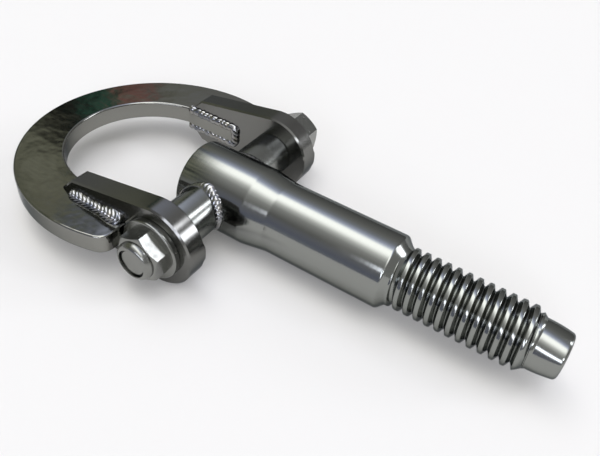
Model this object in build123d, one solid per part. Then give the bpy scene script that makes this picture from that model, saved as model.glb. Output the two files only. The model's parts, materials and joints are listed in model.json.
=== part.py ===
from build123d import *
import math
import os

# Folding tow eye: a threaded shank, a cross sleeve welded through its head, and a plate eye
# whose two lugs swing on a bolt that runs through the sleeve.
# Frame: the origin is where the thread leaves the shoulder, on the shank's axis.
# +X runs along the thread to its tip, +Y along the pivot bolt to its head, +Z is up.
# All sizes are in millimetres.

# Shank, turned from one bar
HEAD_DIA = 24.5
BODY_DIA = 22.0
PIVOT_TO_SEAT = 59.0
HEAD_BEHIND_PIVOT = 9.2
HEAD_AHEAD_OF_PIVOT = 13.0
HEAD_TAPER_LENGTH = 8.0
HEAD_EDGE_CHAMFER = 0.5
SHOULDER_LENGTH = 1.9

# Thread, kept as a plain rod of its crest size, and nose
THREAD_DIA = 18.0
THREAD_LENGTH = 38.5
THREAD_END_LENGTH = 2.4
NOSE_DIA = 14.2
NOSE_LENGTH = 7.5
NOSE_TAPER_LENGTH = 4.0
NOSE_TIP_DIA = 12.6
NOSE_EDGE_CHAMFER = 0.7

# Cross sleeve
SLEEVE_DIA = 14.0
SLEEVE_SEAT_CLEARANCE = 0.05
SLEEVE_WELD = 1.7

# Lugs
LUG_GAP = 50.6
LUG_SIDE_CLEARANCE = 0.1
LUG_THICKNESS = 6.5
LUG_END_RADIUS = 12.75
LUG_TAPER_ANGLE = 10.0
LUG_LENGTH = 34.4
LUG_REAR_CHAMFER = 4.6
LUG_EDGE_CHAMFER = 0.4

# Eye plate
PLATE_THICKNESS = 6.0
EYE_OUTER_RADIUS = 43.1
EYE_OUTER_CENTRE = 25.9
EYE_INNER_RADIUS = 25.75
EYE_INNER_CENTRE = 30.4
LEG_END_BEHIND_PIVOT = 9.8
LEG_CORNER_RADIUS = 4.5
TAB_PROUD = 1.0
TAB_END_BEHIND_PIVOT = 15.0
TAB_CLEARANCE = 0.05
PLATE_EDGE_CHAMFER = 0.4

# Lug welds
OUTER_WELD = 2.7
OUTER_WELD_BULGE = 0.45
OUTER_WELD_REAR_INSET = 3.6
OUTER_WELD_FRONT_INSET = 0.6
INNER_WELD_RADIUS = 1.6
ROPE_SIDES = 8
INNER_WELD_OVERRUN = 0.6

# Pivot bolt, washers and lock nut
BOLT_DIA = 8.0
BOLT_CLEARANCE = 0.08
BOLT_END_CHAMFER = 0.5
HEX_ACROSS_FLATS = 13.0
HEX_FACE_SHARE = 0.95
HEX_CHAMFER_ANGLE = 30.0
BOLT_HEAD_HEIGHT = 9.6
BOLT_HEAD_TURN = 33.0
WASHER_DIA = 18.6
WASHER_THICKNESS = 2.1
NUT_HEX_HEIGHT = 3.0
NUT_COLLAR_DIA = 11.6
NUT_COLLAR_HEIGHT = 3.6
NUT_COLLAR_ROLL = 0.8
NUT_MOUTH_DIA = 9.0
NUT_TURN = 23.0
INSERT_HEIGHT = 1.8
INSERT_WALL = 0.9
COLLAR_LIP = 1.0
BOLT_END_PROUD = 0.5

# Places worked out from the sizes above
pivot_x = -PIVOT_TO_SEAT
head_radius = HEAD_DIA / 2
body_radius = BODY_DIA / 2
thread_radius = THREAD_DIA / 2
nose_radius = NOSE_DIA / 2
tip_x = THREAD_LENGTH + NOSE_LENGTH
sleeve_radius = SLEEVE_DIA / 2
lug_inner_y = LUG_GAP / 2
lug_outer_y = lug_inner_y + LUG_THICKNESS
sleeve_half_length = lug_inner_y - LUG_SIDE_CLEARANCE
half_plate = PLATE_THICKNESS / 2
leg_end_x = pivot_x - LEG_END_BEHIND_PIVOT
tab_end_x = pivot_x - TAB_END_BEHIND_PIVOT
lug_rear_x = pivot_x - LUG_LENGTH
bolt_radius = BOLT_DIA / 2
hole_radius = bolt_radius + BOLT_CLEARANCE
washer_outer_y = lug_outer_y + WASHER_THICKNESS
tab_face_y = lug_inner_y - TAB_PROUD
insert_top = NUT_HEX_HEIGHT + NUT_COLLAR_HEIGHT - COLLAR_LIP
bolt_end_y = washer_outer_y + insert_top + BOLT_END_PROUD
through_head = 2 * HEAD_DIA
through_lug = 2 * LUG_LENGTH
NUT_SIDE = -1
HEAD_SIDE = 1
STANDING = (Align.CENTER, Align.CENTER, Align.MIN)
HANGING = (Align.CENTER, Align.CENTER, Align.MAX)


def along_x(shape):
    """Lay a shape that was turned about Z along X, its top towards +X."""
    return Rot(0, 90, 0) * shape


def along_y(shape, side=HEAD_SIDE):
    """Lay a shape that was turned about Z on the pivot axis, its top towards the given side."""
    return Pos(pivot_x, 0, 0) * Rot(-90 * side, 0, 0) * shape


def turned(points):
    """Turn a closed profile of (radius, height) points about Z."""
    profile = make_face(Polyline(*[(r, 0, z) for r, z in points], close=True))
    return revolve(profile, Axis.Z)


def make_shank():
    """The turned bar: head, taper, body, shoulder, thread and nose, with the cross hole."""
    head_rear = pivot_x - HEAD_BEHIND_PIVOT
    head_front = pivot_x + HEAD_AHEAD_OF_PIVOT
    tip_radius = NOSE_TIP_DIA / 2
    bar = turned([
        (0, head_rear),
        (head_radius - HEAD_EDGE_CHAMFER, head_rear),
        (head_radius, head_rear + HEAD_EDGE_CHAMFER),
        (head_radius, head_front),
        (body_radius, head_front + HEAD_TAPER_LENGTH),
        (body_radius, -SHOULDER_LENGTH),
        (thread_radius, 0),
        (thread_radius, THREAD_LENGTH - THREAD_END_LENGTH),
        (nose_radius, THREAD_LENGTH),
        (nose_radius, tip_x - NOSE_TAPER_LENGTH),
        (tip_radius, tip_x - NOSE_EDGE_CHAMFER),
        (tip_radius - NOSE_EDGE_CHAMFER, tip_x),
        (0, tip_x),
    ])
    hole = Cylinder(sleeve_radius + SLEEVE_SEAT_CLEARANCE, through_head)
    return along_x(bar) - along_y(hole)


def make_sleeve():
    """The tube across the shank's head that the bolt runs in."""
    length = 2 * sleeve_half_length
    return along_y(Cylinder(sleeve_radius, length) - Cylinder(hole_radius, length))


def make_sleeve_weld(side):
    """The bead in the corner between the sleeve and the round of the head, on one side."""
    collar = Cylinder(sleeve_radius + SLEEVE_WELD, through_head, align=STANDING)
    bead = along_y(collar, side) & round_head(head_radius + SLEEVE_WELD)
    return bead - round_head(head_radius) - along_y(Cylinder(sleeve_radius, through_head))


def round_head(radius):
    """A rod on the shank's axis that reaches past both ends of the head."""
    return along_x(Pos(0, 0, pivot_x) * Cylinder(radius, through_head))


def make_plate():
    """The flat eye: a round plate with a round opening that runs out between two legs."""
    outline = Pos(pivot_x - EYE_OUTER_CENTRE, 0) * Circle(EYE_OUTER_RADIUS)
    outline = outline - ahead_of(leg_end_x, EYE_OUTER_RADIUS)
    outline = fillet(outline.vertices().group_by(Axis.X)[-1], LEG_CORNER_RADIUS)
    opening = Pos(pivot_x - EYE_INNER_CENTRE, 0) * Circle(EYE_INNER_RADIUS)
    opening = opening - ahead_of(lug_rear_x, EYE_INNER_RADIUS)
    mouth = ahead_of(lug_rear_x, tab_face_y)
    step = ahead_of(tab_end_x, lug_outer_y)
    outline = outline - opening - mouth - step
    plate = extrude(outline, amount=half_plate, both=True)
    faces = plate.edges().group_by(Axis.Z)
    rims = [edge for edge in faces[0] + faces[-1] if is_free_rim(edge)]
    return chamfer(rims, PLATE_EDGE_CHAMFER)


def ahead_of(x, half_width):
    """A rectangle about the X axis, from the given x forward past the pivot."""
    return Pos(x, 0) * Rectangle(2 * PIVOT_TO_SEAT, 2 * half_width, align=(Align.MIN, Align.CENTER))


def is_free_rim(edge):
    """True for the plate's edges that no lug or weld covers."""
    centre = edge.center()
    beside_lug = centre.X > lug_rear_x - TAB_PROUD and abs(centre.Y) < lug_outer_y + TAB_PROUD / 2
    return not beside_lug


def make_lug(side):
    """A tapering bar with a round nose, slotted from the rear to slide over the plate's leg."""
    slope = math.radians(LUG_TAPER_ANGLE)
    tangent_x = -LUG_END_RADIUS * math.sin(slope)
    tangent_z = LUG_END_RADIUS * math.cos(slope)
    top_rear_x = LUG_REAR_CHAMFER - LUG_LENGTH
    top_rear_z = tangent_z - (tangent_x - top_rear_x) * math.tan(slope)
    rear_z = top_rear_z - LUG_REAR_CHAMFER
    upper_line = Polyline((tangent_x, tangent_z), (top_rear_x, top_rear_z), (-LUG_LENGTH, rear_z))
    lower_line = Polyline((-LUG_LENGTH, -rear_z), (top_rear_x, -top_rear_z), (tangent_x, -tangent_z))
    rear_line = Line((-LUG_LENGTH, rear_z), (-LUG_LENGTH, -rear_z))
    nose = ThreePointArc((tangent_x, -tangent_z), (LUG_END_RADIUS, 0), (tangent_x, tangent_z))
    outline = make_face(upper_line + rear_line + lower_line + nose)
    slot_width = PLATE_THICKNESS + 2 * TAB_CLEARANCE
    slot = Rectangle(through_lug, slot_width, align=(Align.MAX, Align.CENTER))
    bar = extrude(Plane.XZ * outline, amount=LUG_THICKNESS / 2, both=True)
    outer_rim = bar.edges().group_by(Axis.Y)[-1 if side == HEAD_SIDE else 0]
    bar = chamfer(outer_rim, LUG_EDGE_CHAMFER)
    cuts = (Pos(TAB_CLEARANCE - TAB_END_BEHIND_PIVOT, 0) * slot) + Circle(hole_radius)
    bar = bar - extrude(Plane.XZ * cuts, amount=LUG_THICKNESS, both=True)
    return Pos(pivot_x, side * (lug_inner_y + LUG_THICKNESS / 2), 0) * bar


def make_outer_welds(side):
    """Fillet beads along the outer face of a lug, one on top of the plate and one below it."""
    rear_x = lug_rear_x + OUTER_WELD_REAR_INSET
    length = leg_end_x - OUTER_WELD_FRONT_INSET - rear_x
    crown = OUTER_WELD / 2 + OUTER_WELD_BULGE / math.sqrt(2)
    corners = [(0, 0, 0), (0, OUTER_WELD, 0), (0, crown, crown), (0, 0, OUTER_WELD)]
    run = extrude(make_face(Polyline(*corners, close=True)), amount=length, dir=(1, 0, 0))
    toes = [(0, 0), (length, 0), (length - OUTER_WELD, OUTER_WELD), (OUTER_WELD, OUTER_WELD)]
    foot = make_face(Polyline(*toes, close=True))
    bead = run & extrude(foot, amount=OUTER_WELD)
    upper = Pos(rear_x, lug_outer_y, half_plate) * bead
    if side == NUT_SIDE:
        upper = mirror(upper, Plane.XZ)
    return [upper, mirror(upper, Plane.XY)]


def make_inner_weld(side, plate):
    """A rope of weld round three edges of the tab, where it stands proud of the lug's inner face."""
    rear_x = lug_rear_x - INNER_WELD_OVERRUN
    y = side * lug_inner_y
    upper = [(rear_x, half_plate), (tab_end_x, half_plate)]
    lower = [(tab_end_x, -half_plate), (rear_x, -half_plate)]
    path = Polyline(*[(x, y, z) for x, z in upper + lower])
    start = Plane((rear_x, y, half_plate), z_dir=(1, 0, 0))
    section = start * RegularPolygon(INNER_WELD_RADIUS, ROPE_SIDES)
    rope = sweep(section, path=path, transition=Transition.RIGHT)
    lug_room = Box(through_lug, LUG_THICKNESS, through_lug)
    return rope - Pos(pivot_x, y + side * LUG_THICKNESS / 2, 0) * lug_room - plate


def make_bolt():
    """A hex bolt: its head bears on the washer and its end stops inside the nut's collar."""
    head = hex_block(BOLT_HEAD_HEIGHT, BOLT_HEAD_TURN)
    length = washer_outer_y + bolt_end_y
    rod = Cylinder(bolt_radius, length, align=HANGING)
    rod = chamfer(rod.edges().filter_by(GeomType.CIRCLE).sort_by(Axis.Z)[0], BOLT_END_CHAMFER)
    return along_y(Pos(0, 0, washer_outer_y) * (head + rod), HEAD_SIDE)


def hex_block(height, turn):
    """A hexagon standing on Z = 0, its outer corners cut back to a cone."""
    corner_radius = HEX_ACROSS_FLATS / math.sqrt(3)
    block = extrude(Rot(0, 0, turn) * RegularPolygon(corner_radius, 6), amount=height)
    cone_radius = HEX_ACROSS_FLATS / 2 * HEX_FACE_SHARE
    cone_drop = (corner_radius - cone_radius) * math.tan(math.radians(HEX_CHAMFER_ANGLE))
    cone = turned([
        (0, 0), (corner_radius, 0), (corner_radius, height - cone_drop), (cone_radius, height), (0, height),
    ])
    return block & cone


def make_washer(side):
    """A plain washer against the lug's outer face."""
    disc = Cylinder(WASHER_DIA / 2, WASHER_THICKNESS, align=STANDING)
    disc = disc - Cylinder(hole_radius, through_head)
    return along_y(Pos(0, 0, lug_outer_y) * disc, side)


def make_nut():
    """A lock nut: a hexagon with a round collar that is rolled in over the insert."""
    total = NUT_HEX_HEIGHT + NUT_COLLAR_HEIGHT
    collar = turned([
        (0, 0),
        (NUT_COLLAR_DIA / 2, 0),
        (NUT_COLLAR_DIA / 2, total - NUT_COLLAR_ROLL),
        (NUT_COLLAR_DIA / 2 - NUT_COLLAR_ROLL, total),
        (0, total),
    ])
    nut = hex_block(NUT_HEX_HEIGHT, NUT_TURN) + collar
    nut = nut - Cylinder(hole_radius, through_head) - make_insert_room()
    mouth = Cylinder(NUT_MOUTH_DIA / 2, total, align=STANDING)
    nut = nut - Pos(0, 0, insert_top) * mouth
    return along_y(Pos(0, 0, washer_outer_y) * nut, NUT_SIDE)


def make_insert_room():
    """The round pocket inside the collar that the insert fills."""
    room = Cylinder(hole_radius + INSERT_WALL, INSERT_HEIGHT, align=HANGING)
    return Pos(0, 0, insert_top) * room


def make_insert():
    """The plastic ring that grips the bolt."""
    ring = make_insert_room() - Cylinder(hole_radius, through_head)
    return along_y(Pos(0, 0, washer_outer_y) * ring, NUT_SIDE)


plate = make_plate()
nodes = {
    "shank": make_shank(),
    "pivot_sleeve": make_sleeve(),
    "eye_plate": plate,
    "pivot_bolt": make_bolt(),
    "lock_nut": make_nut(),
    "lock_nut_insert": make_insert(),
}
for place, side in (("nut_side", NUT_SIDE), ("head_side", HEAD_SIDE)):
    nodes[place + "_sleeve_weld"] = make_sleeve_weld(side)
    nodes[place + "_lug"] = make_lug(side)
    nodes[place + "_lug_welds"] = Compound(children=make_outer_welds(side) + [make_inner_weld(side, plate)])
    nodes[place + "_washer"] = make_washer(side)

os.makedirs("parts", exist_ok=True)
for name, shape in nodes.items():
    export_step(shape, "parts/" + name + ".step")
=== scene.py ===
# %% [markdown]
# # A folding tow eye in polished stainless steel
# The object is a turned shank with a coarse thread, and a flat plate eye that folds about a bolt
# through the shank's head. The solids come packed from the CAD model as a fixed frame in metres.
# This lesson dresses them: every visible piece is modelled again with smooth, dense surfaces and
# soft edges, because polished steel shows each facet of a coarse mesh in its reflections.

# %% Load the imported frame
import json
import math

import bmesh
import bpy
from mathutils import Matrix, Vector

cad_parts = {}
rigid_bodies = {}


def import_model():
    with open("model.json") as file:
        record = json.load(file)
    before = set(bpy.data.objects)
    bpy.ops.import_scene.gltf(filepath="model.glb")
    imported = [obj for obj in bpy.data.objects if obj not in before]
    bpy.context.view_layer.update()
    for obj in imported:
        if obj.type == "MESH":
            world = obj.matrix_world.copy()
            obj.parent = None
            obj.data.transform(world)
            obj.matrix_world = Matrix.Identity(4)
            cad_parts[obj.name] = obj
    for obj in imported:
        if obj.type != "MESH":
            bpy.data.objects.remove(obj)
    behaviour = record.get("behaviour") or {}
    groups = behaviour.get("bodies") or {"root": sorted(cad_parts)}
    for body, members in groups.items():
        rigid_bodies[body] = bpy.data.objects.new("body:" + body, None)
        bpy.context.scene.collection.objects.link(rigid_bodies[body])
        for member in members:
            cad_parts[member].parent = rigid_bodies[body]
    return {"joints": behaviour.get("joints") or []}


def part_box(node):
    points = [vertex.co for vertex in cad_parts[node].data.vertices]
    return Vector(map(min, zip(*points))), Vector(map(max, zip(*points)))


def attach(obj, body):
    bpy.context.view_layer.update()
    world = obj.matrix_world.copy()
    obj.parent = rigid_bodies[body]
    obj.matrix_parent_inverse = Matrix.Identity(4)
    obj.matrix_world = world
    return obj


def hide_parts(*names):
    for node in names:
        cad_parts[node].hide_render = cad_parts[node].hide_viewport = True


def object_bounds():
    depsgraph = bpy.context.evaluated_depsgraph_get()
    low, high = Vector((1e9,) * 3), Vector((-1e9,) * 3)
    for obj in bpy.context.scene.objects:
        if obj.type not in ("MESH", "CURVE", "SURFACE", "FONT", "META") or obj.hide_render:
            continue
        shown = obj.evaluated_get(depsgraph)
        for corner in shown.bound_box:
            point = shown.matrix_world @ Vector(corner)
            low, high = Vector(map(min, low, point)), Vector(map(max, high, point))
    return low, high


for leftover in list(bpy.data.objects):
    bpy.data.objects.remove(leftover)
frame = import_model()
cad_low, cad_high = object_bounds()
MM = 0.001

# %% [markdown]
# ## Places that the whole lesson shares
# The pivot is read from the joint, and the main sizes from the boxes of the nodes, so the looks
# follow the solids. Pieces are drawn in millimetres and made metres when they are finished.
# Side -1 carries the nut and side +1 the bolt's head.

# %% Read the places from the frame
pivot_x = frame["joints"][0]["pos_m"][0] / MM
NUT_SIDE = -1
HEAD_SIDE = 1
SIDE_NAMES = {NUT_SIDE: "nut_side", HEAD_SIDE: "head_side"}


def box_mm(node):
    """The lowest and highest corner of a CAD node, in millimetres."""
    low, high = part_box(node)
    return Vector(low) / MM, Vector(high) / MM


shank_low, shank_high = box_mm("shank")
sleeve_low, sleeve_high = box_mm("pivot_sleeve")
lug_low, lug_high = box_mm("head_side_lug")
plate_high = box_mm("eye_plate")[1]
washer_high = box_mm("head_side_washer")[1]
head_radius = shank_high.z
sleeve_radius = sleeve_high.z
half_plate = plate_high.z
print("pivot at x =", round(pivot_x, 1), "mm; lugs from y =", round(lug_low.y, 2), "mm")

# %% [markdown]
# ## Finishing a piece
# A bmesh becomes an object in the same steps each time: make it metres, merge doubles, point the
# faces outwards, shade smooth but keep true corners sharp, give it its finish, and let it ride on
# its body. Flat pieces get face-weighted normals, so that a soft edge doesn't bend the
# reflections in the flat beside it.

# %% A helper that turns a bmesh into a finished piece
SHARP_ANGLE = math.radians(38)
MERGE_GAP = 0.002  # points nearer than this, in millimetres, become one


def finish_piece(name, bm, material, body, node, flat=False):
    """Make an object from a bmesh. It stands for a CAD node and moves with that node's body."""
    bmesh.ops.scale(bm, vec=(MM, MM, MM), verts=bm.verts[:])
    bmesh.ops.remove_doubles(bm, verts=bm.verts[:], dist=MERGE_GAP * MM)
    bmesh.ops.recalc_face_normals(bm, faces=bm.faces[:])
    mesh = bpy.data.meshes.new(name)
    bm.to_mesh(mesh)
    bm.free()
    mesh.shade_smooth()
    mesh.set_sharp_from_angle(angle=SHARP_ANGLE)
    mesh.materials.append(material)
    piece = bpy.data.objects.new(name, mesh)
    bpy.context.scene.collection.objects.link(piece)
    if flat:
        weights = piece.modifiers.new("face_weights", "WEIGHTED_NORMAL")
        weights.keep_sharp = True
    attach(piece, body)
    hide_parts(node)
    print(name, "has", len(mesh.polygons), "faces")


print("corners over", round(math.degrees(SHARP_ANGLE)), "degrees stay sharp")

# %% [markdown]
# ## Colours and nodes
# Colours are written as they look on a screen, in sRGB hex, and one function turns them to the
# linear values that the renderer wants. A second small function adds a shader node, sets it up and
# links it, so each finish reads as a short list. A colour ramp gets its stops there too.

# %% Colour and node helpers
def linear(hex_colour):
    """An sRGB hex colour as linear red, green, blue and alpha."""
    channels = [int(hex_colour[start:start + 2], 16) / 255 for start in (1, 3, 5)]
    return [c / 12.92 if c <= 0.04045 else ((c + 0.055) / 1.055) ** 2.4 for c in channels] + [1.0]


def add_node(tree, kind, settings=None, inputs=None, stops=()):
    """Add a node, set its properties and colour stops, and set or link its inputs."""
    node = tree.nodes.new(kind)
    for name, value in (settings or {}).items():
        setattr(node, name, value)
    for name, value in (inputs or {}).items():
        if isinstance(value, bpy.types.NodeSocket):
            tree.links.new(value, node.inputs[name])
        else:
            node.inputs[name].default_value = value
    for index, (place, colour) in enumerate(stops):
        elements = node.color_ramp.elements
        element = elements[index] if index < len(elements) else elements.new(1.0)
        element.position = place
        element.color = linear(colour)
    return node


def new_finish(name):
    """A material with only its shader and output, and the tree to add nodes to."""
    material = bpy.data.materials.new(name)
    material.use_nodes = True
    tree = material.node_tree
    shader = tree.nodes["Principled BSDF"]
    return material, tree, shader


print("mid grey #808080 is", round(linear("#808080")[0], 3), "in linear light")

# %% [markdown]
# ## Stainless steel, turned on a lathe
# The shank and the sleeve are bar stock, turned and then polished. What is left to see are fine
# rings round the axis, which break up the reflections along the bar. A noise that is stretched
# round the axis drives both the roughness and a very low bump. Real turning marks are about
# 0.1 mm apart, finer than a pixel here, so they are drawn 0.5 mm apart.

# %% The turned finish
STEEL_COLOUR = "#898B87"
STEEL_EDGE = "#9FA2A5"
TURNING_MARK = 0.5
MARK_DEPTH = 0.05
ALONG_MARK = 6.0  # noise per metre along a mark, so few that the mark runs on as a ring
NOISE_LOW, NOISE_HIGH = 0.3, 0.7  # the part of a noise that is spread over a finish's roughness


def make_turned_steel(name, axis, smooth, rough):
    """Polished bar with rings round the given axis (0 for X, 1 for Y), between two roughnesses."""
    material, tree, shader = new_finish(name)
    coordinates = add_node(tree, "ShaderNodeTexCoord")
    stretch = [ALONG_MARK] * 3
    stretch[axis] = 1 / (TURNING_MARK * MM)
    mapped = add_node(tree, "ShaderNodeMapping", inputs={
        "Vector": coordinates.outputs["Object"], "Scale": stretch})
    rings = add_node(tree, "ShaderNodeTexNoise", inputs={
        "Vector": mapped.outputs["Vector"], "Scale": 1.0, "Detail": 4.0, "Roughness": 0.6})
    spread = add_node(tree, "ShaderNodeMapRange", inputs={
        "Value": rings.outputs["Fac"], "From Min": NOISE_LOW, "From Max": NOISE_HIGH,
        "To Min": smooth, "To Max": rough})
    tree.links.new(spread.outputs["Result"], shader.inputs["Roughness"])
    bump = add_node(tree, "ShaderNodeBump", inputs={
        "Height": rings.outputs["Fac"], "Strength": 0.10, "Distance": MARK_DEPTH * MM})
    tree.links.new(bump.outputs["Normal"], shader.inputs["Normal"])
    shader.inputs["Base Color"].default_value = linear(STEEL_COLOUR)
    shader.inputs["Specular Tint"].default_value = linear(STEEL_EDGE)
    shader.inputs["Metallic"].default_value = 1.0
    return material


turned_shank_steel = make_turned_steel("stainless_bar_turned_and_polished", 0, 0.09, 0.17)
turned_sleeve_steel = make_turned_steel("stainless_tube_turned_and_polished", 1, 0.16, 0.26)
print("turned finishes:", turned_shank_steel.name, "and", turned_sleeve_steel.name)

# %% [markdown]
# ## Stainless steel plate, polished by hand
# The eye and the lugs are cut from plate and then buffed. Buffing leaves a mirror with a slow
# waviness of a few millimetres and short fine scratches along the stroke. The waviness is a wide
# noise in the bump, and the scratches are a stretched noise in the roughness, drawn 0.4 mm wide so
# that they show.

# %% The polished plate finish
WAVE_LENGTH = 7.0
SCRATCH_WIDTH = 0.4
SCRATCH_DEPTH = 0.03
SCRATCH_RATIO = 14
STROKE_TURN = 0.4


def make_polished_plate(name, colour, smooth, rough, waviness):
    """Buffed plate between two values of roughness, with its height of waves in millimetres."""
    material, tree, shader = new_finish(name)
    coordinates = add_node(tree, "ShaderNodeTexCoord")
    waves = add_node(tree, "ShaderNodeTexNoise", inputs={
        "Vector": coordinates.outputs["Object"], "Scale": 1 / (WAVE_LENGTH * MM), "Detail": 2.0})
    cross = 1 / (SCRATCH_WIDTH * MM)
    stroke = add_node(tree, "ShaderNodeMapping", inputs={
        "Vector": coordinates.outputs["Object"], "Rotation": (0.0, 0.0, STROKE_TURN),
        "Scale": (cross / SCRATCH_RATIO, cross, cross)})
    scratches = add_node(tree, "ShaderNodeTexNoise", inputs={
        "Vector": stroke.outputs["Vector"], "Scale": 1.0, "Detail": 5.0, "Roughness": 0.65})
    spread = add_node(tree, "ShaderNodeMapRange", inputs={
        "Value": scratches.outputs["Fac"], "From Min": NOISE_LOW, "From Max": NOISE_HIGH,
        "To Min": smooth, "To Max": rough})
    tree.links.new(spread.outputs["Result"], shader.inputs["Roughness"])
    wavy = add_node(tree, "ShaderNodeBump", inputs={
        "Height": waves.outputs["Fac"], "Strength": 0.5, "Distance": waviness * MM})
    scratched = add_node(tree, "ShaderNodeBump", inputs={
        "Height": scratches.outputs["Fac"], "Strength": 0.05, "Distance": SCRATCH_DEPTH * MM,
        "Normal": wavy.outputs["Normal"]})
    tree.links.new(scratched.outputs["Normal"], shader.inputs["Normal"])
    shader.inputs["Base Color"].default_value = linear(colour)
    shader.inputs["Specular Tint"].default_value = linear(STEEL_EDGE)
    shader.inputs["Metallic"].default_value = 1.0
    return material


plate_steel = make_polished_plate("stainless_plate_hand_polished", "#878782", 0.08, 0.15, 0.25)
# The lugs' colour is a shade darker than the plate's: painted shade, for the darker reflections on
# their faces. Their rougher grind is their own.
lug_steel = make_polished_plate("stainless_lug_ground_and_polished", "#787875", 0.14, 0.22, 0.06)
print("plate finishes:", plate_steel.name, "and", lug_steel.name)

# %% [markdown]
# ## Weld metal
# A weld bead by hand sets in overlapping ripples. It is brighter than the plate, not polished, and
# where it cooled in air it keeps a thin straw to blue tint. The ripples themselves are modelled;
# the finish adds a fine grain and the tint in patches.

# %% The weld finish
TINT_PATCH = 2.5
WELD_GRAIN = 0.35
GRAIN_DEPTH = 0.05


def make_weld_steel(name):
    """Bright weld metal with patches of heat tint."""
    material, tree, shader = new_finish(name)
    coordinates = add_node(tree, "ShaderNodeTexCoord")
    patches = add_node(tree, "ShaderNodeTexNoise", inputs={
        "Vector": coordinates.outputs["Object"], "Scale": 1 / (TINT_PATCH * MM), "Detail": 3.0})
    tint = add_node(tree, "ShaderNodeValToRGB", inputs={"Fac": patches.outputs["Fac"]}, stops=[
        (0.30, "#71757C"), (0.46, "#919294"), (0.60, "#9B9A97"), (0.75, "#878176")])
    tree.links.new(tint.outputs["Color"], shader.inputs["Base Color"])
    grain = add_node(tree, "ShaderNodeTexNoise", inputs={
        "Vector": coordinates.outputs["Object"], "Scale": 1 / (WELD_GRAIN * MM), "Detail": 4.0})
    spread = add_node(tree, "ShaderNodeMapRange", inputs={
        "Value": grain.outputs["Fac"], "From Min": NOISE_LOW, "From Max": NOISE_HIGH,
        "To Min": 0.10, "To Max": 0.22})
    tree.links.new(spread.outputs["Result"], shader.inputs["Roughness"])
    bump = add_node(tree, "ShaderNodeBump", inputs={
        "Height": grain.outputs["Fac"], "Strength": 0.25, "Distance": GRAIN_DEPTH * MM})
    tree.links.new(bump.outputs["Normal"], shader.inputs["Normal"])
    shader.inputs["Metallic"].default_value = 1.0
    return material


weld_steel = make_weld_steel("stainless_weld_as_laid")
print("weld finish:", weld_steel.name)

# %% [markdown]
# ## Fasteners
# The bolt, the washers and the nut are formed stainless parts that were tumbled: duller than the
# polished bar, with small dents and a fine even grain. The nut's insert is dark moulded nylon.

# %% The fastener and nylon finishes
def make_grained(name, colour, metallic, grain_mm, smooth, rough):
    """An even, fine-grained finish for small parts."""
    material, tree, shader = new_finish(name)
    coordinates = add_node(tree, "ShaderNodeTexCoord")
    grain = add_node(tree, "ShaderNodeTexNoise", inputs={
        "Vector": coordinates.outputs["Object"], "Scale": 1 / (grain_mm * MM), "Detail": 5.0})
    spread = add_node(tree, "ShaderNodeMapRange", inputs={
        "Value": grain.outputs["Fac"], "From Min": NOISE_LOW, "From Max": NOISE_HIGH,
        "To Min": smooth, "To Max": rough})
    tree.links.new(spread.outputs["Result"], shader.inputs["Roughness"])
    bump = add_node(tree, "ShaderNodeBump", inputs={
        "Height": grain.outputs["Fac"], "Strength": 0.15, "Distance": GRAIN_DEPTH * MM})
    tree.links.new(bump.outputs["Normal"], shader.inputs["Normal"])
    shader.inputs["Base Color"].default_value = linear(colour)
    shader.inputs["Metallic"].default_value = metallic
    return material


fastener_steel = make_grained("stainless_fastener_tumbled", "#838480", 1.0, 1.2, 0.18, 0.28)
insert_nylon = make_grained("nylon_moulded_dark", "#212428", 0.0, 0.4, 0.40, 0.60)
print("small finishes:", fastener_steel.name, "and", insert_nylon.name)

# %% [markdown]
# ## Round pieces by spinning
# The shank, sleeve, washers, bolt rod and insert are all bodies of revolution. Each starts as half
# of its outline: a few vertices, with the corners rounded by a vertex bevel. A spin then turns the
# outline round the Z axis, and a rotation lays it on the axis where it belongs.

# %% Helpers for spun pieces
SPIN_STEPS = 160
ROUND_STEPS = 5
QUARTER_TURN = math.pi / 2
FULL_TURN = 2 * math.pi


def draw_outline(bm, points, closed=False):
    """Join (radius, height, rounding) points into an outline and round its corners."""
    verts = [bm.verts.new((radius, 0, height)) for radius, height, rounding in points]
    followers = verts[1:] + verts[:1] if closed else verts[1:]
    for start, end in zip(verts, followers):
        bm.edges.new((start, end))
    for vert, (radius, height, rounding) in zip(verts, points):
        if rounding:
            bmesh.ops.bevel(bm, geom=[vert], offset=rounding, offset_type="OFFSET",
                            segments=ROUND_STEPS, profile=0.5, affect="VERTICES", material=-1)


def spin_outline(points, closed=False):
    """Turn an outline about Z."""
    bm = bmesh.new()
    draw_outline(bm, points, closed)
    bmesh.ops.spin(bm, geom=bm.verts[:] + bm.edges[:], cent=(0, 0, 0), axis=(0, 0, 1),
                   angle=FULL_TURN, steps=SPIN_STEPS, use_merge=True)
    return bm


def lay_along_x(bm):
    """Turn a piece that stands on Z so that its top points to +X."""
    turn = Matrix.Rotation(QUARTER_TURN, 3, "Y")
    bmesh.ops.rotate(bm, verts=bm.verts[:], cent=(0, 0, 0), matrix=turn)


def lay_on_pivot(bm, side):
    """Turn a piece that stands on Z so that its top points outwards on one side of the pivot."""
    turn = Matrix.Rotation(-side * QUARTER_TURN, 3, "X")
    bmesh.ops.rotate(bm, verts=bm.verts[:], cent=(0, 0, 0), matrix=turn)
    bmesh.ops.translate(bm, verts=bm.verts[:], vec=(pivot_x, 0, 0))


print("round pieces have", SPIN_STEPS, "steps")

# %% [markdown]
# ## The shank
# One bar: a thicker head that takes the sleeve, a long taper to the body, a chamfered shoulder,
# the core of the thread with a run-out cone, and a pilot nose that tapers to the tip.

# %% The turned bar
TAPER_REAR = pivot_x + 13.0
TAPER_FRONT = TAPER_REAR + 8.0
BODY_RADIUS = 11.0
SHOULDER_REAR = -1.9
CREST_RADIUS = 9.0
CORE_RADIUS = 7.1
RUN_OUT_END = 2.6
NOSE_TAPER_START = 42.0
TIP_RADIUS = 6.3

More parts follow.
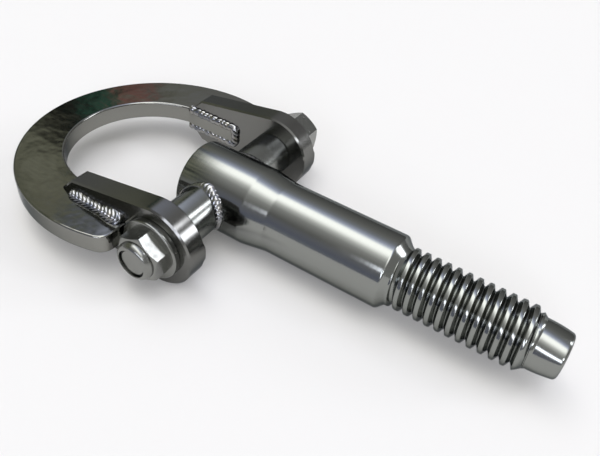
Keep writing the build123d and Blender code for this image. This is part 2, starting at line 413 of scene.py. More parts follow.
bar = spin_outline([
    (0.0, shank_low.x, 0.0),
    (head_radius, shank_low.x, 0.6),
    (head_radius, TAPER_REAR, 0.3),
    (BODY_RADIUS, TAPER_FRONT, 0.3),
    (BODY_RADIUS, SHOULDER_REAR, 0.45),
    (CREST_RADIUS, 0.0, 0.0),
    (CORE_RADIUS, RUN_OUT_END, 0.0),
    (CORE_RADIUS, NOSE_TAPER_START, 3.0),
    (TIP_RADIUS, shank_high.x, 0.7),
    (0.0, shank_high.x, 0.0),
])
lay_along_x(bar)
finish_piece("shank_bar", bar, turned_shank_steel, "shank", "shank")

# %% [markdown]
# ## The thread
# A screw thread is one pitch of its outline, turned and moved forward at the same time. The spin
# operator does that when it is given a step along the axis. One turn is spun and then copied along
# the axis. Each turn starts where the one before it ended, so merging doubles joins them to one
# skin. The front is turned down to a cone, and both ends are cut square and capped.

# %% The screw thread
PITCH = 3.0
THREAD_LENGTH = 38.5
THREAD_END_LENGTH = 2.4
ROOT_RADIUS = 7.4
ROOT_ROUND = 0.15
CREST_WIDTH = 1.1
CREST_ROUND = 0.2
FLANK_WIDTH = 0.84
THREAD_SHIFT = -3.6  # where the first turn starts, behind the shoulder, as in the photograph
STEPS_PER_TURN = 96
ROOT_WIDTH = PITCH - CREST_WIDTH - 2 * FLANK_WIDTH
turns = math.ceil(THREAD_LENGTH / PITCH) + 2

thread = bmesh.new()
half_root = ROOT_WIDTH / 2
draw_outline(thread, [
    (ROOT_RADIUS, 0.0, 0.0),
    (ROOT_RADIUS, half_root, ROOT_ROUND),
    (CREST_RADIUS, half_root + FLANK_WIDTH, CREST_ROUND),
    (CREST_RADIUS, PITCH - half_root - FLANK_WIDTH, CREST_ROUND),
    (ROOT_RADIUS, PITCH - half_root, ROOT_ROUND),
    (ROOT_RADIUS, PITCH, 0.0),
])
bmesh.ops.spin(thread, geom=thread.verts[:] + thread.edges[:], cent=(0, 0, 0), axis=(0, 0, 1),
               dvec=(0, 0, PITCH / STEPS_PER_TURN), angle=FULL_TURN, steps=STEPS_PER_TURN)
bmesh.ops.translate(thread, verts=thread.verts[:], vec=(0, 0, THREAD_SHIFT))
first_turn = thread.verts[:] + thread.edges[:] + thread.faces[:]
for turn in range(1, turns):
    copied = bmesh.ops.duplicate(thread, geom=first_turn)["geom"]
    moved = [part for part in copied if isinstance(part, bmesh.types.BMVert)]
    bmesh.ops.translate(thread, verts=moved, vec=(0, 0, turn * PITCH))
bmesh.ops.remove_doubles(thread, verts=thread.verts[:], dist=MERGE_GAP)
cone_slope = (CREST_RADIUS - CORE_RADIUS) / THREAD_END_LENGTH
for vert in thread.verts:
    radius = math.hypot(vert.co.x, vert.co.y)
    limit = CORE_RADIUS + (THREAD_LENGTH - vert.co.z) * cone_slope
    share = min(1.0, max(limit, CORE_RADIUS) / radius)
    vert.co.x *= share
    vert.co.y *= share
for height, outwards in ((0.0, -1), (THREAD_LENGTH, 1)):
    skin = thread.verts[:] + thread.edges[:] + thread.faces[:]
    cut = bmesh.ops.bisect_plane(thread, geom=skin, plane_co=(0, 0, height),
                                 plane_no=(0, 0, outwards), clear_outer=True)
    rim = [part for part in cut["geom_cut"] if isinstance(part, bmesh.types.BMEdge)]
    bmesh.ops.contextual_create(thread, geom=rim)
lay_along_x(thread)
finish_piece("shank_thread", thread, turned_shank_steel, "shank", "shank")

# %% [markdown]
# ## The cross sleeve
# A thick tube welded through the head. The bolt turns in it, so it is the hinge's bearing. Only its
# two short ends show, between the head and the lugs.

# %% The sleeve
BORE_RADIUS = 4.08
sleeve = spin_outline([
    (BORE_RADIUS, sleeve_low.y, 0.2),
    (sleeve_radius, sleeve_low.y, 0.3),
    (sleeve_radius, sleeve_high.y, 0.3),
    (BORE_RADIUS, sleeve_high.y, 0.2),
], closed=True)
lay_on_pivot(sleeve, HEAD_SIDE)
finish_piece("pivot_sleeve_tube", sleeve, turned_sleeve_steel, "shank", "pivot_sleeve")

# %% [markdown]
# ## Weld beads as mapped grids
# A bead follows a corner between two pieces. A plain grid is laid out, one direction along the
# bead and one across it, and each vertex is moved to its place: two legs up the walls of the
# corner, a rounded face between them, and ripples like fish scales along the run. The first and
# last rows meet in the corner, sunk into both walls, so the bead is a closed skin. The ripples bow
# forward by a lead in the middle of the bead, as the pool of metal does behind the arc. Slow waves
# make the bead's width wobble a little, as a hand does.

# %% Helpers for beads
RIPPLE_POWER = 0.7  # under 1, so that a ripple is broad on top and narrow in its valley
CORNER_SHARE = 0.02
FOOT_SHARE = 0.06
BEAD_SINK = 0.3
BEAD_SKIN = 0.05


def ripple(phase):
    """Height of a bead's ripples, 0 to 1, with one ripple for each whole step of the phase."""
    return abs(math.sin(math.pi * phase)) ** RIPPLE_POWER


def crown(face):
    """Height of a bead's round face, from 0 at its feet to 1 in its middle."""
    return 4 * face * (1 - face)


def round_end(to_end):
    """Size of a bead near its end, for a way of 0 at the end to 1 where the bead is full."""
    return math.sqrt(max(0.0, 1 - (1 - to_end) ** 2))


def lay_bead(place, run_steps, across_steps):
    """A grid whose vertices are moved by place(run, across), both from 0 to 1."""
    bm = bmesh.new()
    bmesh.ops.create_grid(bm, x_segments=run_steps, y_segments=across_steps, size=1.0)
    for vert in bm.verts:
        vert.co = place((vert.co.x + 1) / 2, (vert.co.y + 1) / 2)
    return bm


def bead_face(across):
    """Split the way across a bead: None in the corner, else 0 to 1 over its face."""
    if across < CORNER_SHARE or across > 1 - CORNER_SHARE:
        return None
    return min(1.0, max(0.0, (across - FOOT_SHARE) / (1 - 2 * FOOT_SHARE)))


print("halfway across, a bead's face is at", bead_face(0.5), "and its crown at", crown(0.5))

# %% [markdown]
# ## The welds round the sleeve
# The bead runs round the sleeve where it enters the head. The head is round, so the corner is a
# saddle: the bead dips towards the top and bottom of the head. It is full on one side, where the
# photograph shows its ripples, and thin on the other.

# %% The two saddle beads
SADDLE_LEG = 1.8
SADDLE_THIN = 0.45
SADDLE_BULGE = 0.30
SADDLE_RIPPLE = 0.30
SADDLE_RIPPLES = 36
SADDLE_GRID = (SADDLE_RIPPLES * 8, 26)  # steps along the bead and across it
SADDLE_LEAD = 0.5
FULL_SIDE = 0.7
FULL_NARROWING = 1.35


def place_on_saddle(side):
    """A function that lays a bead round the sleeve on one side of the head."""
    def place(run, across):
        angle = run * FULL_TURN
        outwards = Vector((math.cos(angle), 0, math.sin(angle)))
        depth = sleeve_radius * math.sin(angle)
        corner = outwards * (sleeve_radius - BEAD_SINK)
        corner.y = math.sqrt(head_radius ** 2 - depth ** 2) - BEAD_SINK
        wobble = 1 + 0.08 * math.sin(5 * angle) + 0.05 * math.sin(11 * angle)
        off_full = (angle - FULL_SIDE + math.pi) % FULL_TURN - math.pi
        fullness = math.cos(min(abs(off_full) * FULL_NARROWING, QUARTER_TURN))
        leg = SADDLE_LEG * wobble * (SADDLE_THIN + (1 - SADDLE_THIN) * fullness)
        on_sleeve = outwards * (sleeve_radius - BEAD_SKIN)
        on_sleeve.y = corner.y + BEAD_SINK + leg
        reach = sleeve_radius + leg
        on_head = outwards * reach
        on_head.y = math.sqrt(head_radius ** 2 - (reach * math.sin(angle)) ** 2) - BEAD_SKIN
        face = bead_face(across)
        if face is None:
            point = corner
        else:
            point = on_head.lerp(on_sleeve, face)
            lift = ((on_head + on_sleeve) / 2 - corner).normalized()
            scales = ripple(run * SADDLE_RIPPLES - SADDLE_LEAD * crown(face)) * fullness
            point += lift * crown(face) * (SADDLE_BULGE + SADDLE_RIPPLE * scales)
        return Vector((pivot_x + point.x, side * point.y, point.z))
    return place


for side, side_name in SIDE_NAMES.items():
    bead = lay_bead(place_on_saddle(side), *SADDLE_GRID)
    finish_piece(side_name + "_sleeve_bead", bead, weld_steel, "shank",
                 side_name + "_sleeve_weld")

# %% [markdown]
# ## The eye
# A flat plate, round outside and round inside, with its two legs running forward past the lugs.
# Half of the outline is drawn, each arc by spinning one vertex, and mirrored. The loop is filled,
# extruded to the plate's thickness, and its rims are rounded with a bevel of a few steps. A rim
# this narrow is what catches the lamps as a thin white line.

# %% Helpers for plates
LEVEL_GAP = 0.001  # an edge that rises or strays by less than this, in millimetres, is level


def add_arc(bm, start, centre, angle, steps):
    """Spin one vertex about Z round a centre and return the arc's last vertex."""
    swept = bmesh.ops.spin(bm, geom=[start], cent=centre, axis=(0, 0, 1), angle=angle, steps=steps)
    return [part for part in swept["geom_last"] if isinstance(part, bmesh.types.BMVert)][0]


def add_path(bm, start, points):
    """Join a vertex to a row of points and return the new vertices."""
    verts = []
    for x, y in points:
        verts.append(bm.verts.new((x, y, 0)))
        bm.edges.new((start, verts[-1]))
        start = verts[-1]
    return verts


def thicken(bm, thickness, rim, segments, slot=0.0):
    """Fill a flat outline, extrude it evenly about Z = 0 and bevel its rims, except in a slot."""
    bmesh.ops.remove_doubles(bm, verts=bm.verts[:], dist=MERGE_GAP)
    bmesh.ops.contextual_create(bm, geom=bm.edges[:])
    bmesh.ops.translate(bm, verts=bm.verts[:], vec=(0, 0, -thickness / 2))
    raised = bmesh.ops.extrude_face_region(bm, geom=bm.faces[:], use_keep_orig=True)
    top = [part for part in raised["geom"] if isinstance(part, bmesh.types.BMVert)]
    bmesh.ops.translate(bm, verts=top, vec=(0, 0, thickness))
    bmesh.ops.recalc_face_normals(bm, faces=bm.faces[:])
    rims = [edge for edge in bm.edges
            if abs(edge.verts[0].co.z - edge.verts[1].co.z) < LEVEL_GAP
            and max(abs(vert.co.y) for vert in edge.verts) > slot + LEVEL_GAP]
    bmesh.ops.bevel(bm, geom=rims, offset=rim, offset_type="OFFSET", segments=segments,
                    profile=0.5, affect="EDGES", material=-1, clamp_overlap=False)
    bmesh.ops.remove_doubles(bm, verts=bm.verts[:], dist=MERGE_GAP)


print("rims are found to within", LEVEL_GAP, "mm")

# %% The eye plate
OUTER_RADIUS = 43.1
OUTER_CENTRE = pivot_x - 25.9
INNER_RADIUS = 25.75
INNER_CENTRE = pivot_x - 30.4
LEG_END = plate_high.x
LEG_ROUND = 4.5
TAB_END = pivot_x - 15.0
TAB_FACE = lug_low.y - 1.0
PLATE_RIM = 0.6
PLATE_RIM_STEPS = 3
OUTER_STEPS, LEG_STEPS, INNER_STEPS = 110, 16, 90

plate = bmesh.new()
round_x = LEG_END - LEG_ROUND
round_y = math.sqrt((OUTER_RADIUS - LEG_ROUND) ** 2 - (round_x - OUTER_CENTRE) ** 2)
leg_angle = math.atan2(round_y, round_x - OUTER_CENTRE)
outer_start = plate.verts.new((OUTER_CENTRE - OUTER_RADIUS, 0, 0))
outer_end = add_arc(plate, outer_start, (OUTER_CENTRE, 0, 0), leg_angle - math.pi, OUTER_STEPS)
leg_end = add_arc(plate, outer_end, (round_x, round_y, 0), -leg_angle, LEG_STEPS)
tab_rear_y = math.sqrt(INNER_RADIUS ** 2 - (lug_low.x - INNER_CENTRE) ** 2)
path = add_path(plate, leg_end, [
    (LEG_END, lug_high.y),
    (TAB_END, lug_high.y),
    (TAB_END, TAB_FACE),
    (lug_low.x, TAB_FACE),
    (lug_low.x, tab_rear_y),
])
inner_angle = math.pi - math.acos((lug_low.x - INNER_CENTRE) / INNER_RADIUS)
add_arc(plate, path[-1], (INNER_CENTRE, 0, 0), inner_angle, INNER_STEPS)
bmesh.ops.mirror(plate, geom=plate.verts[:] + plate.edges[:], axis="Y", merge_dist=MERGE_GAP)
thicken(plate, 2 * half_plate, PLATE_RIM, PLATE_RIM_STEPS)
finish_piece("eye_ring_plate", plate, plate_steel, "eye", "eye_plate",
             flat=True)

# %% [markdown]
# ## The lugs
# Each lug is a bar with a round nose about the bolt, straight tapering edges and a cut-off rear
# end. It is slotted from the rear, and the plate's leg goes into the slot. The outline is drawn
# flat with one spun arc, thickened like the plate, and then stood on edge. Its rims are flat
# chamfers, and the edges of the slot stay sharp against the plate.

# %% The two lugs
LUG_TAPER = math.radians(10.0)
LUG_RADIUS = lug_high.z
LUG_LENGTH = pivot_x - lug_low.x
LUG_REAR_CUT = 4.6
LUG_THICKNESS = lug_high.y - lug_low.y
SLOT_GAP = 0.05
SLOT_END = TAB_END - pivot_x + SLOT_GAP
LUG_RIM = 0.5
LUG_RIM_STEPS = 1
NOSE_STEPS = 80


def make_lug(side):
    """One lug, drawn about the pivot in its own plane and then stood in place."""
    tangent = Vector((-math.sin(LUG_TAPER), math.cos(LUG_TAPER))) * LUG_RADIUS
    cut_x = LUG_REAR_CUT - LUG_LENGTH
    cut_z = tangent.y - (tangent.x - cut_x) * math.tan(LUG_TAPER)
    slot = half_plate + SLOT_GAP
    rear_x = cut_x - (cut_z - slot)
    bm = bmesh.new()
    start = bm.verts.new((tangent.x, -tangent.y, 0))
    nose_end = add_arc(bm, start, (0, 0, 0), math.pi + 2 * LUG_TAPER, NOSE_STEPS)
    add_path(bm, nose_end, [
        (cut_x, cut_z),
        (rear_x, slot),
        (SLOT_END, slot),
        (SLOT_END, -slot),
        (rear_x, -slot),
        (cut_x, -cut_z),
        (tangent.x, -tangent.y),
    ])
    thicken(bm, LUG_THICKNESS, LUG_RIM, LUG_RIM_STEPS, slot)
    turn = Matrix.Rotation(QUARTER_TURN, 3, "X")
    bmesh.ops.rotate(bm, verts=bm.verts[:], cent=(0, 0, 0), matrix=turn)
    middle = side * (lug_low.y + lug_high.y) / 2
    bmesh.ops.translate(bm, verts=bm.verts[:], vec=(pivot_x, middle, 0))
    return bm


for side, side_name in SIDE_NAMES.items():
    finish_piece(side_name + "_lug_bar", make_lug(side), lug_steel, "eye",
                 side_name + "_lug", flat=True)

# %% [markdown]
# ## The fillet welds outside the lugs
# A bead lies in the corner between the plate's top and the lug's outer face, and another below.
# The welder moved forward, so the scales bow towards the shank, and ended in a wider pool. The ends
# are rounded: the bead's legs and height shrink to nothing there.

# %% The outer beads
BEAD_REAR = lug_low.x + 3.7
BEAD_FRONT = LEG_END - 0.6
BEAD_LENGTH = BEAD_FRONT - BEAD_REAR
BEAD_LEG = 2.2
BEAD_PITCH = 1.4
BEAD_LEAD = 1.5
BEAD_END = 1.8
BEAD_BULGE = 0.25
BEAD_RIPPLE = 0.36
BEAD_GRID = (190, 28)
POOL_LEG = 3.0
POOL_START = 0.62
POOL_RISE = 0.16
SLANT = 0.7  # a lift at 45 degrees, in each of its two directions


def place_in_corner(side, up):
    """A function that lays a fillet bead along the outside of a lug, above or below the plate."""
    def place(run, across):
        x = run * BEAD_LENGTH
        to_end = min(x, BEAD_LENGTH - x, BEAD_END) / BEAD_END
        size = round_end(to_end)
        wobble = 1 + 0.04 * math.sin(x * 0.7 + side) + 0.02 * math.sin(x * 1.9 + up)
        pool = min(1.0, max(0.0, (run - POOL_START) / POOL_RISE))
        leg = (BEAD_LEG + (POOL_LEG - BEAD_LEG) * pool) * wobble * size
        face = bead_face(across)
        y, z = -BEAD_SINK, -BEAD_SINK
        if face is not None:
            scales = ripple((x - BEAD_LEAD * crown(face)) / BEAD_PITCH)
            lift = crown(face) * (BEAD_BULGE + BEAD_RIPPLE * scales) * size
            y = leg * (1 - face) + lift * SLANT - BEAD_SKIN
            z = leg * face + lift * SLANT - BEAD_SKIN
        return Vector((BEAD_REAR + x, side * (lug_high.y + y), up * (half_plate + z)))
    return place


def join_beads(beads):
    """Put several beads into the first one's bmesh."""
    joined = beads[0]
    for other in beads[1:]:
        spare = bpy.data.meshes.new("spare_bead")
        other.to_mesh(spare)
        other.free()
        joined.from_mesh(spare)
        bpy.data.meshes.remove(spare)
    return joined


for side, side_name in SIDE_NAMES.items():
    beads = [lay_bead(place_in_corner(side, up), *BEAD_GRID) for up in (1, -1)]
    finish_piece(side_name + "_outer_beads", join_beads(beads), weld_steel, "eye",
                 side_name + "_lug_welds")

# %% [markdown]
# ## The weld inside each lug
# On the inner face the plate's tab stands a millimetre proud of the lug. A rope of weld runs along
# its top edge, round the end and back along its bottom edge. The path is a U with rounded corners,
# and the rope is a grid wrapped round it. A hand never steps evenly, so the ripples drift in pitch.
# On the nut side the rope stops short of the lug's rear end, on the other side it runs past it.

# %% The inner ropes
ROPE_RADIUS = 1.6
ROPE_REAR = lug_low.x - 0.6
ROPE_CORNER = 1.4
ROPE_PITCH = 1.8
ROPE_LEAD = 0.9
ROPE_CORE, ROPE_RIPPLE, ROPE_WAVE = 0.80, 0.16, 0.04  # shares of the radius, 1 in all
ROPE_TRIM = {NUT_SIDE: 2.0, HEAD_SIDE: 0.0}
ROPE_GRID = (360, 24)
straight = TAB_END - ROPE_CORNER - ROPE_REAR
upright = 2 * (half_plate - ROPE_CORNER)
quarter = ROPE_CORNER * QUARTER_TURN
ROPE_LENGTH = 2 * straight + upright + 2 * quarter


def rope_path(distance):
    """The place (x, z) and the outward direction at a distance along the U."""
    if distance > ROPE_LENGTH / 2:
        place, outwards = rope_path(ROPE_LENGTH - distance)
        return Vector((place.x, -place.y)), Vector((outwards.x, -outwards.y))
    if distance < straight:
        return Vector((ROPE_REAR + distance, half_plate)), Vector((0.0, 1.0))
    bend = min((distance - straight) / quarter, 1.0) * QUARTER_TURN
    outwards = Vector((math.sin(bend), math.cos(bend)))
    centre = Vector((TAB_END - ROPE_CORNER, half_plate - ROPE_CORNER))
    place = centre + outwards * ROPE_CORNER
    place.y -= max(0.0, distance - straight - quarter)
    return place, outwards


def place_on_rope(side):
    """A function that wraps a grid round the U-shaped rope on one lug, cut short by its trim."""
    trim = ROPE_TRIM[side]

    def place(run, across):
        distance = trim + run * (ROPE_LENGTH - 2 * trim)
        middle, outwards = rope_path(distance)
        to_end = min(distance - trim, ROPE_LENGTH - trim - distance, ROPE_RADIUS) / ROPE_RADIUS
        angle = across * FULL_TURN
        bow = ROPE_LEAD * math.cos(angle)
        drift = 0.3 * math.sin(0.8 * distance) + 0.08 * math.sin(2.1 * distance + 1.0)
        scales = ripple((distance + bow + drift) / ROPE_PITCH)
        share = ROPE_CORE + ROPE_RIPPLE * scales + ROPE_WAVE * math.sin(1.3 * distance)
        radius = ROPE_RADIUS * round_end(to_end) * share
        flat = middle + outwards * radius * math.sin(angle)
        y = lug_low.y - radius * math.cos(angle)
        return Vector((flat.x, side * y, flat.y))
    return place


for side, side_name in SIDE_NAMES.items():
    rope = lay_bead(place_on_rope(side), *ROPE_GRID)
    finish_piece(side_name + "_inner_bead", rope, weld_steel, "eye",
                 side_name + "_lug_welds")

# %% [markdown]
# ## Washers
# A flat washer lies between each lug and the bolt's head or nut. It is stamped, so its outer edge
# is rounded on the side that shows.

# %% The two washers
WASHER_RADIUS = washer_high.z
for side, side_name in SIDE_NAMES.items():
    washer = spin_outline([
        (BORE_RADIUS, lug_high.y, 0.0),
        (WASHER_RADIUS, lug_high.y, 0.25),
        (WASHER_RADIUS, washer_high.y, 0.5),
        (BORE_RADIUS, washer_high.y, 0.2),
    ], closed=True)
    lay_on_pivot(washer, side)
    finish_piece(side_name + "_washer_ring", washer, fastener_steel, "eye",
                 side_name + "_washer")

# %% [markdown]
# ## Hexagons
# A bolt's head and a nut start round: an outline is spun, and then the rows that belong to the
# hexagon are moved to its six flats. Those rows are drawn far too wide at first, so that they can
# be told from the others. The corners are turned down to a cone, so the upper row also moves in
# height: it follows the curve where the cone meets each flat.

# %% A helper that presses a spun piece to a hexagon
ACROSS_FLATS = 13.0
CONE_SHARE = 0.98
CONE_SLOPE = math.tan(math.radians(30.0))
HEX_STEPS = 144
SIXTH_TURN = math.pi / 3
ROW_GAP = 0.01


def flat_reach(angle, flat_angle):
    """Distance from the axis to the hexagon in a direction."""
    off_flat = (angle - flat_angle + SIXTH_TURN / 2) % SIXTH_TURN - SIXTH_TURN / 2
    return ACROSS_FLATS / 2 / math.cos(off_flat)


def spin_hexagon(inner, foot, height, flat_angle, top):
    """Spin a hexagon from foot to height and go on with the top's (radius, height) points.

    The outline starts at the inner radius, and closes on itself where that leaves a bore.
    """
    cone_radius = ACROSS_FLATS / 2 * CONE_SHARE
    mark = ACROSS_FLATS
    rows = [(inner, foot), (mark, foot), (mark, height), (cone_radius, height)] + top
    bm = bmesh.new()
    draw_outline(bm, [(radius, level, 0.0) for radius, level in rows], closed=inner > 0)
    turn = Matrix.Rotation(flat_angle, 3, "Z")
    bmesh.ops.rotate(bm, verts=bm.verts[:], cent=(0, 0, 0), matrix=turn)
    bmesh.ops.spin(bm, geom=bm.verts[:] + bm.edges[:], cent=(0, 0, 0), axis=(0, 0, 1),
                   angle=FULL_TURN, steps=HEX_STEPS, use_merge=True)
    for vert in bm.verts:
        radius = math.hypot(vert.co.x, vert.co.y)
        if abs(radius - mark) > ROW_GAP:
            continue
        reach = flat_reach(math.atan2(vert.co.y, vert.co.x), flat_angle)
        vert.co.x *= reach / radius
        vert.co.y *= reach / radius
        if vert.co.z > foot + ROW_GAP:
            vert.co.z -= (reach - cone_radius) * CONE_SLOPE
    return bm


print("hexagon across corners:", round(flat_reach(SIXTH_TURN / 2, 0.0) * 2, 2), "mm")

# %% [markdown]
# ## The bolt
# Its head is a hexagon with a flat end. Its rod runs through both lugs and the sleeve, and its
# chamfered end stops just proud of the insert, inside the nut's collar.

# %% The pivot bolt
bolt_low, bolt_high = box_mm("pivot_bolt")
BOLT_RADIUS = 4.0
BOLT_CHAMFER = 0.3
ROD_OVERLAP = 1.0
HEAD_FLAT = math.radians(3.0)
bolt_head = spin_hexagon(0.0, washer_high.y, bolt_high.y, HEAD_FLAT, [(0.0, bolt_high.y)])
lay_on_pivot(bolt_head, HEAD_SIDE)
finish_piece("pivot_bolt_head", bolt_head, fastener_steel, "eye", "pivot_bolt")
rod_end = washer_high.y + ROD_OVERLAP
bolt_rod = spin_outline([
    (0.0, bolt_low.y, 0.0),
    (BOLT_RADIUS - BOLT_CHAMFER, bolt_low.y, 0.12),
    (BOLT_RADIUS, bolt_low.y + BOLT_CHAMFER, 0.12),
    (BOLT_RADIUS, rod_end, 0.0),
    (0.0, rod_end, 0.0),
])
lay_on_pivot(bolt_rod, HEAD_SIDE)
finish_piece("pivot_bolt_rod", bolt_rod, fastener_steel, "eye", "pivot_bolt")

# %% [markdown]
# ## The lock nut
# A hexagon with a round collar. The collar's lip is rolled in over a nylon ring that grips the
# bolt. The ring sits low in the collar, so it shows only as a dark line round the bolt's end.

# %% The nut and its insert
nut_low = box_mm("lock_nut")[0]
insert_low, insert_high = box_mm("lock_nut_insert")
NUT_FLAT = math.radians(53.0)
NUT_HEX_HEIGHT = 4.5
COLLAR_RADIUS = 5.8
COLLAR_ROLL = 1.5
ROLL_HEIGHT = 1.8
ROLL_STEPS = 6
MOUTH_RADIUS = 4.3
MOUTH_DEPTH = 0.2
nut_top = -nut_low.y
insert_top = -insert_low.y
collar_foot = washer_high.y + NUT_HEX_HEIGHT
collar = [(COLLAR_RADIUS, collar_foot)]
for step in range(ROLL_STEPS + 1):
    rolled = QUARTER_TURN * step / ROLL_STEPS
    collar.append((COLLAR_RADIUS - COLLAR_ROLL * (1 - math.cos(rolled)),
                   nut_top - ROLL_HEIGHT * (1 - math.sin(rolled))))
mouth_floor = insert_top - MOUTH_DEPTH
collar += [(MOUTH_RADIUS, mouth_floor), (BORE_RADIUS, mouth_floor)]
nut = spin_hexagon(BORE_RADIUS, washer_high.y, collar_foot, NUT_FLAT, collar)
lay_on_pivot(nut, NUT_SIDE)
finish_piece("lock_nut_body", nut, fastener_steel, "eye", "lock_nut")
insert = spin_outline([
    (BORE_RADIUS, -insert_high.y, 0.0),
    (insert_high.z, -insert_high.y, 0.0),
    (insert_high.z, insert_top, 0.1),
    (BORE_RADIUS, insert_top, 0.15),
], closed=True)
lay_on_pivot(insert, NUT_SIDE)
finish_piece("lock_nut_ring", insert, insert_nylon, "eye", "lock_nut_insert")

# %% [markdown]
# ## Floor
# A plain pale floor at the object's lowest point. Its colour alone makes the background nearly
# white; a little light of its own, for the rays that the camera and the reflections send, lifts it
# the rest of the way, and the object's soft shadow stays on it.

# %% The floor
FLOOR_LIFT = 0.08
FLOOR_HALF_WIDTH = 2.0
floor_material, floor_tree, floor_shader = new_finish("floor_matt_white")
floor_shader.inputs["Base Color"].default_value = linear("#DBD9D6")
floor_shader.inputs["Roughness"].default_value = 0.9
floor_shader.inputs["Specular IOR Level"].default_value = 0.0
floor_shader.inputs["Emission Color"].default_value = linear("#FFFFFF")
paths = add_node(floor_tree, "ShaderNodeLightPath")
seen = add_node(floor_tree, "ShaderNodeMath", {"operation": "ADD"}, {
    0: paths.outputs["Is Camera Ray"], 1: paths.outputs["Is Glossy Ray"]})
seen = add_node(floor_tree, "ShaderNodeMath", {"operation": "ADD", "use_clamp": True}, {
    0: seen.outputs["Value"], 1: paths.outputs["Is Transmission Ray"]})
lift = add_node(floor_tree, "ShaderNodeMath", {"operation": "MULTIPLY"}, {
    0: seen.outputs["Value"], 1: FLOOR_LIFT})
floor_tree.links.new(lift.outputs["Value"], floor_shader.inputs["Emission Strength"])
floor_bm = bmesh.new()
bmesh.ops.create_grid(floor_bm, x_segments=1, y_segments=1, size=FLOOR_HALF_WIDTH)
bmesh.ops.translate(floor_bm, verts=floor_bm.verts[:], vec=(0, 0, cad_low[2]))
floor_mesh = bpy.data.meshes.new("floor")
floor_bm.to_mesh(floor_mesh)
floor_bm.free()
floor_mesh.materials.append(floor_material)
floor = bpy.data.objects.new("floor", floor_mesh)
bpy.context.scene.collection.objects.link(floor)
print("floor at z =", round(cad_low[2] / MM, 2), "mm")

# %% [markdown]
# ## Light
# Polished steel is what it reflects. Most of the room is a band that runs over the object from the
# near horizon to the far one: dim on the near side, a long bright strip overhead, dim on the far
# side. A round bar shows that band as streaks along its length. The angle round the X axis picks
# the colour from a ramp, and it is tilted a little, so that the streaks run as in the photograph.

# %% The room
ROOM_STRENGTH = 8.0
STRIP_TILT = 0.17
TILT_MIDDLE = -0.4
world = bpy.data.worlds.new("studio_room")
world.use_nodes = True
bpy.context.scene.world = world
room = world.node_tree
background = room.nodes["Background"]
direction = add_node(room, "ShaderNodeTexCoord").outputs["Generated"]
parts = add_node(room, "ShaderNodeSeparateXYZ", inputs={0: direction})
near = add_node(room, "ShaderNodeMath", {"operation": "MULTIPLY"}, {
    0: parts.outputs["Y"], 1: -1.0})
angle = add_node(room, "ShaderNodeMath", {"operation": "ARCTAN2"}, {
    0: parts.outputs["Z"], 1: near.outputs["Value"]})
tilt = add_node(room, "ShaderNodeMath", {"operation": "MULTIPLY_ADD"}, {
    0: parts.outputs["X"], 1: STRIP_TILT, 2: -TILT_MIDDLE * STRIP_TILT})
share = add_node(room, "ShaderNodeMath", {"operation": "MULTIPLY_ADD", "use_clamp": True}, {
    0: angle.outputs["Value"], 1: 1 / math.pi, 2: tilt.outputs["Value"]})
band = add_node(room, "ShaderNodeValToRGB", inputs={"Fac": share.outputs["Value"]}, stops=[
    (0.000, "#404247"), (0.090, "#33353E"), (0.160, "#38393E"), (0.230, "#353535"),
    (0.300, "#464646"), (0.370, "#555555"), (0.436, "#7A7A7A"), (0.500, "#AFAFAF"),
    (0.525, "#B8B8B8"), (0.585, "#B8B8B8"), (0.615, "#898D97"), (0.645, "#666978"),
    (0.710, "#494B51"), (0.780, "#404040"), (0.860, "#373737"), (1.000, "#323232"),
])
print("room band has", len(band.color_ramp.elements), "stops")

# %% [markdown]
# ## Walls and lamps
# To the left the room ends in a wall with patches, which the flat eye mirrors: a black one, a teal
# one and a red-brown one stand where the photograph shows them in the plate. To the right the room
# is dim, with two lamps behind that light the sleeve and the nut, and one in front for the lugs'
# rims. A thin strip on the near side leaves a dot on each turn of the thread. Each is one more
# colour laid over the room, faded in along a direction or by the angle to its middle.

# %% The walls and the lamps
DIM_GREY = "#424242"
STRIP_WHITE = "#DDE0EE"
LAMP_WHITE = "#F4F6FF"
WALL_PATCHES = 11.0
WALL_EDGE = (-0.52, -0.64)  # each edge is the way from where it starts to where it is full
WALL_FOOT = (0.40, 0.15)
DIM_EDGE = (0.40, 0.70)
STRIP_LEFT = (-0.14, -0.05)
STRIP_RIGHT = (0.45, 0.60)
WALL_SPOTS = [  # direction, cosines where it starts and is full, strength, colour
    ((-0.674, 0.534, 0.511), 0.9966, 0.9992, 1.0, "#030303"),
    ((-0.652, 0.562, 0.511), 0.9992, 0.9999, 0.8, "#18342B"),
    ((-0.627, 0.607, 0.498), 0.9992, 0.9999, 0.8, "#523330"),
]
LAMPS = [  # direction, cosines where it starts and is full
    ((0.75, 0.57, 0.35), 0.984, 0.995),
    ((0.52, 0.46, 0.72), 0.990, 0.996),
    ((0.58, -0.69, 0.43), 0.994, 0.998),
]
across, height = parts.outputs["X"], parts.outputs["Z"]


def lay_over(under, over, value, start, end, strength=1.0, how="MIX"):
    """Lay a colour over another where a value passes from start to end."""
    amount = add_node(room, "ShaderNodeMapRange", {"interpolation_type": "SMOOTHSTEP"}, {
        "Value": value, "From Min": start, "From Max": end, "To Min": 0.0, "To Max": strength})
    return add_node(room, "ShaderNodeMixRGB", {"blend_type": how}, {
        "Fac": amount.outputs["Result"], "Color1": under, "Color2": over}).outputs["Color"]


def lay_spot(under, towards, start, end, strength, colour, how="MIX"):
    """Lay a round spot over the room, by the cosine of the angle to its middle."""
    facing = add_node(room, "ShaderNodeVectorMath", {"operation": "DOT_PRODUCT"}, {
        0: direction, 1: Vector(towards).normalized()})
    return lay_over(under, linear(colour), facing.outputs["Value"], start, end, strength, how)


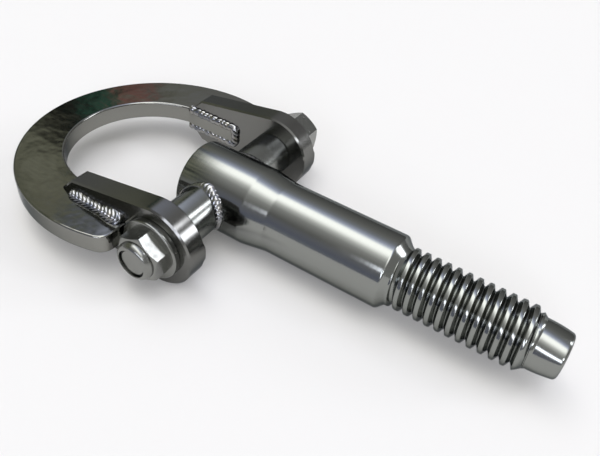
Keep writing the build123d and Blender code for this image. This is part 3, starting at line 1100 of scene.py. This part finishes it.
patches = add_node(room, "ShaderNodeTexNoise", inputs={
    "Vector": direction, "Scale": WALL_PATCHES, "Detail": 2.0})
wall = add_node(room, "ShaderNodeValToRGB", inputs={"Fac": patches.outputs["Fac"]}, stops=[
    (0.34, "#0E0E0E"), (0.43, "#272C26"), (0.50, "#34342C"), (0.57, "#3D3D34"), (0.66, "#46473F"),
]).outputs["Color"]
for towards, start, end, strength, colour in WALL_SPOTS:
    wall = lay_spot(wall, towards, start, end, strength, colour)
wall = lay_over(wall, linear(DIM_GREY), height, *WALL_FOOT)
strip = add_node(room, "ShaderNodeValToRGB", inputs={"Fac": share.outputs["Value"]}, stops=[
    (0.208, "#000000"), (0.226, STRIP_WHITE), (0.266, STRIP_WHITE), (0.284, "#000000"),
]).outputs["Color"]
strip = lay_over(strip, linear("#000000"), across, *STRIP_RIGHT)
shades = lay_over(band.outputs["Color"], linear(DIM_GREY), across, *DIM_EDGE)
shades = lay_over(shades, wall, across, *WALL_EDGE)
shades = lay_over(shades, strip, across, *STRIP_LEFT, how="ADD")
for towards, start, end in LAMPS:
    shades = lay_spot(shades, towards, start, end, 1.0, LAMP_WHITE, "ADD")
room.links.new(shades, background.inputs["Color"])
background.inputs["Strength"].default_value = ROOM_STRENGTH
print("the room has", len(WALL_SPOTS), "spots on its wall and", len(LAMPS), "lamps")

# %% [markdown]
# ## Camera
# The camera stands where the photograph was taken from, found by lining up the bar's edges, the
# bolt and the ring: close, about 40 degrees above the plate, and tilted a little about its own
# axis.

# %% The camera
CAMERA_PLACE = Vector((29.18, -118.59, 117.78)) * MM
CAMERA_AIM = Vector((-31.51, -0.59, 0.0)) * MM
CAMERA_ROLL = math.radians(7.48)
SENSOR_WIDTH = 36.0
FOCAL_LENGTH = 36.73
camera_data = bpy.data.cameras.new("photo_camera")
camera_data.sensor_width = SENSOR_WIDTH
camera_data.lens = FOCAL_LENGTH
camera_data.clip_start = 5 * MM
camera = bpy.data.objects.new("photo_camera", camera_data)
aim = (CAMERA_AIM - CAMERA_PLACE).to_track_quat("-Z", "Y").to_matrix().to_4x4()
roll = Matrix.Rotation(CAMERA_ROLL, 4, "Z")
camera.matrix_world = Matrix.Translation(CAMERA_PLACE) @ aim @ roll
bpy.context.scene.collection.objects.link(camera)
bpy.context.scene.camera = camera
bpy.context.scene.view_settings.view_transform = "Standard"
print("camera is", round((CAMERA_AIM - CAMERA_PLACE).length, 3), "m away")
